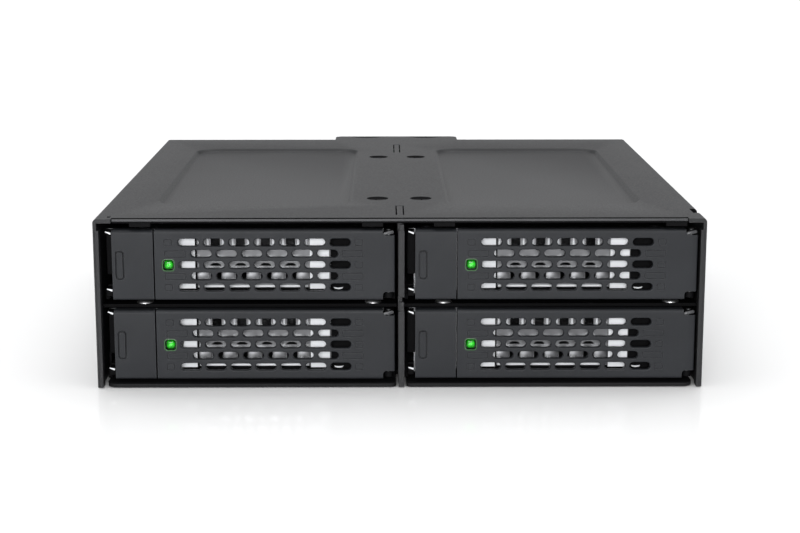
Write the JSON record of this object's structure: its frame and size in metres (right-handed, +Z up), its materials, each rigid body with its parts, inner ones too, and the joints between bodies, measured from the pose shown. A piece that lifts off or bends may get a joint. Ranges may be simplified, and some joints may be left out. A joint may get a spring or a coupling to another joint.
{
  "type": "drive enclosure",
  "caption": "Half-height bay enclosure with pull-out drive trays, vented swing levers, release buttons, a rear fan and rear ports.",
  "frame": {"origin": "centre of the object's lowest face, under the middle of its whole length and width", "axes": "+X to the right as seen from the front, -Y out of the front, +Z up"},
  "size_m": [0.146, 0.157, 0.0413],
  "materials": {
    "case_coat": "fine textured black powder coat",
    "tray_face": "fine matt grain",
    "plated_steel": "bright zinc plate",
    "drive_case": "satin cast and stamped metal",
    "black_plastic": "moulded",
    "black_screw": "black oxide",
    "circuit_board": "solder mask",
    "status_light": "lit clear lens"
  },
  "bodies": {
    "case": {"top_cover": "case_coat", "front_lip": "case_coat", "base_pan": "case_coat", "center_divider": "case_coat", "shelf_left": "case_coat", "shelf_right": "case_coat", "rear_panel": "case_coat", "backplane_board": "circuit_board", "data_port_1": "black_plastic", "data_port_2": "black_plastic", "data_port_3": "black_plastic", "data_port_4": "black_plastic", "power_port_1": "black_plastic", "power_port_2": "black_plastic", "fan_housing": "black_plastic", "drive_connector_upper_left": "black_plastic", "drive_connector_upper_right": "black_plastic", "drive_connector_lower_left": "black_plastic", "drive_connector_lower_right": "black_plastic", "fan_screw_1": "black_screw", "fan_screw_2": "black_screw", "fan_screw_3": "black_screw", "fan_screw_4": "black_screw", "cover_screw_1": "black_screw", "cover_screw_2": "black_screw", "cover_screw_3": "black_screw", "cover_screw_4": "black_screw"},
    "fan_rotor": {"fan_rotor": "black_plastic"},
    "tray_upper_left": {"tray_sled_upper_left": "plated_steel", "drive_upper_left": "drive_case", "hinge_pin_upper_left": "plated_steel"},
    "lever_upper_left": {"release_lever_upper_left": "tray_face", "status_light_upper_left": "status_light"},
    "latch_upper_left": {"latch_button_upper_left": "tray_face"},
    "tray_upper_right": {"tray_sled_upper_right": "plated_steel", "drive_upper_right": "drive_case", "hinge_pin_upper_right": "plated_steel"},
    "lever_upper_right": {"release_lever_upper_right": "tray_face", "status_light_upper_right": "status_light"},
    "latch_upper_right": {"latch_button_upper_right": "tray_face"},
    "tray_lower_left": {"tray_sled_lower_left": "plated_steel", "drive_lower_left": "drive_case", "hinge_pin_lower_left": "plated_steel"},
    "lever_lower_left": {"release_lever_lower_left": "tray_face", "status_light_lower_left": "status_light"},
    "latch_lower_left": {"latch_button_lower_left": "tray_face"},
    "tray_lower_right": {"tray_sled_lower_right": "plated_steel", "drive_lower_right": "drive_case", "hinge_pin_lower_right": "plated_steel"},
    "lever_lower_right": {"release_lever_lower_right": "tray_face", "status_light_lower_right": "status_light"},
    "latch_lower_right": {"latch_button_lower_right": "tray_face"}
  },
  "joints": [
    {"name": "tray_slide_upper_left", "type": "slide", "parent": "case", "child": "tray_upper_left", "axis": [0, -1, 0], "range_m": [0, 0.11]},
    {"name": "lever_swing_upper_left", "type": "hinge", "parent": "tray_upper_left", "child": "lever_upper_left", "pos_m": [-0.00275, -0.0762, 0.03], "axis": [0, 0, 1], "range_deg": [0, 85]},
    {"name": "latch_press_upper_left", "type": "slide", "parent": "tray_upper_left", "child": "latch_upper_left", "axis": [0, 1, 0], "range_m": [0, 0.0012], "stiffness_N_per_m": 300, "springref_m": -0.0012},
    {"name": "tray_slide_upper_right", "type": "slide", "parent": "case", "child": "tray_upper_right", "axis": [0, -1, 0], "range_m": [0, 0.11]},
    {"name": "lever_swing_upper_right", "type": "hinge", "parent": "tray_upper_right", "child": "lever_upper_right", "pos_m": [0.06965, -0.0762, 0.03], "axis": [0, 0, 1], "range_deg": [0, 85]},
    {"name": "latch_press_upper_right", "type": "slide", "parent": "tray_upper_right", "child": "latch_upper_right", "axis": [0, 1, 0], "range_m": [0, 0.0012], "stiffness_N_per_m": 300, "springref_m": -0.0012},
    {"name": "tray_slide_lower_left", "type": "slide", "parent": "case", "child": "tray_lower_left", "axis": [0, -1, 0], "range_m": [0, 0.11]},
    {"name": "lever_swing_lower_left", "type": "hinge", "parent": "tray_lower_left", "child": "lever_lower_left", "pos_m": [-0.00275, -0.0762, 0.0104], "axis": [0, 0, 1], "range_deg": [0, 85]},
    {"name": "latch_press_lower_left", "type": "slide", "parent": "tray_lower_left", "child": "latch_lower_left", "axis": [0, 1, 0], "range_m": [0, 0.0012], "stiffness_N_per_m": 300, "springref_m": -0.0012},
    {"name": "tray_slide_lower_right", "type": "slide", "parent": "case", "child": "tray_lower_right", "axis": [0, -1, 0], "range_m": [0, 0.11]},
    {"name": "lever_swing_lower_right", "type": "hinge", "parent": "tray_lower_right", "child": "lever_lower_right", "pos_m": [0.06965, -0.0762, 0.0104], "axis": [0, 0, 1], "range_deg": [0, 85]},
    {"name": "latch_press_lower_right", "type": "slide", "parent": "tray_lower_right", "child": "latch_lower_right", "axis": [0, 1, 0], "range_m": [0, 0.0012], "stiffness_N_per_m": 300, "springref_m": -0.0012},
    {"name": "fan_spin", "type": "hinge", "parent": "case", "child": "fan_rotor", "pos_m": [0, 0.0715, 0.0201], "axis": [0, 1, 0], "continuous": true}
  ]
}
